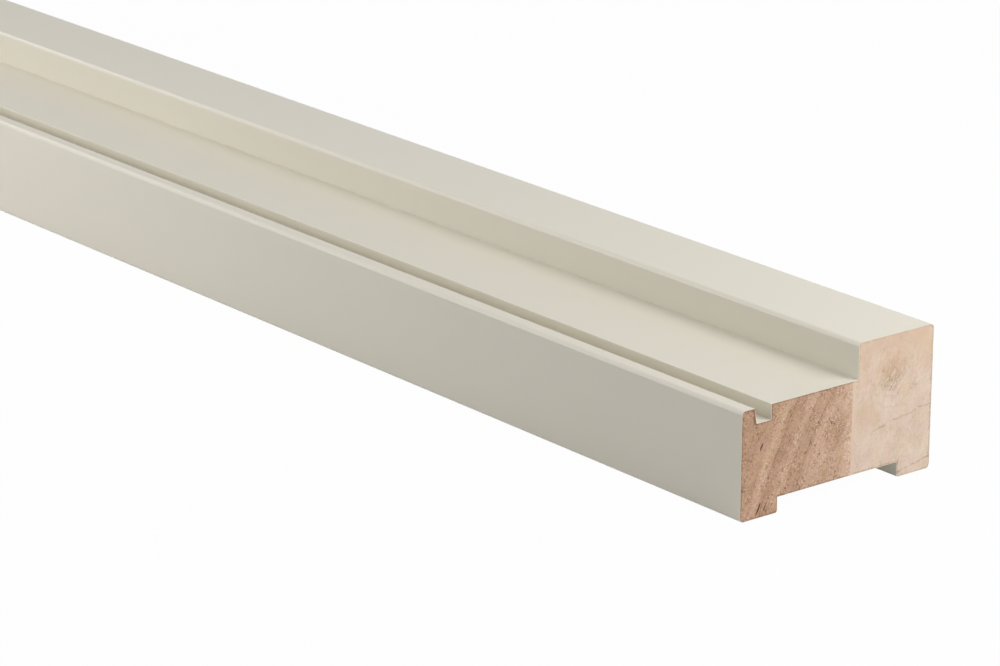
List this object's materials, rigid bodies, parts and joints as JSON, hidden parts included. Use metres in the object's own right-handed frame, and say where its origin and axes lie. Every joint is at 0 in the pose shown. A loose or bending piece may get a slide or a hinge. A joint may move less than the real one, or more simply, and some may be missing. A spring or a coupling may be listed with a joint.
{
  "type": "wooden door frame member",
  "caption": "Straight door frame member of laminated wood, primed off-white, with a door rebate, a drain groove by the weather face and a hollow wall side between two feet.",
  "frame": {"origin": "middle of the footprint, on the plane of the two feet", "axes": "+X along the length towards the pictured cut end, +Y from the weather face to the room face, +Z from the wall side up to the top of the door stop"},
  "size_m": [1.035, 0.11, 0.066],
  "materials": {
    "primed_hardwood": "satin off-white primer on red-brown hardwood, bare sawn end grain at both ends",
    "primed_softwood": "satin off-white primer on pale softwood, bare sawn end grain at both ends"
  },
  "bodies": {
    "root": {"hardwood_lamella": "primed_hardwood", "softwood_lamella": "primed_softwood"}
  },
  "joints": []
}
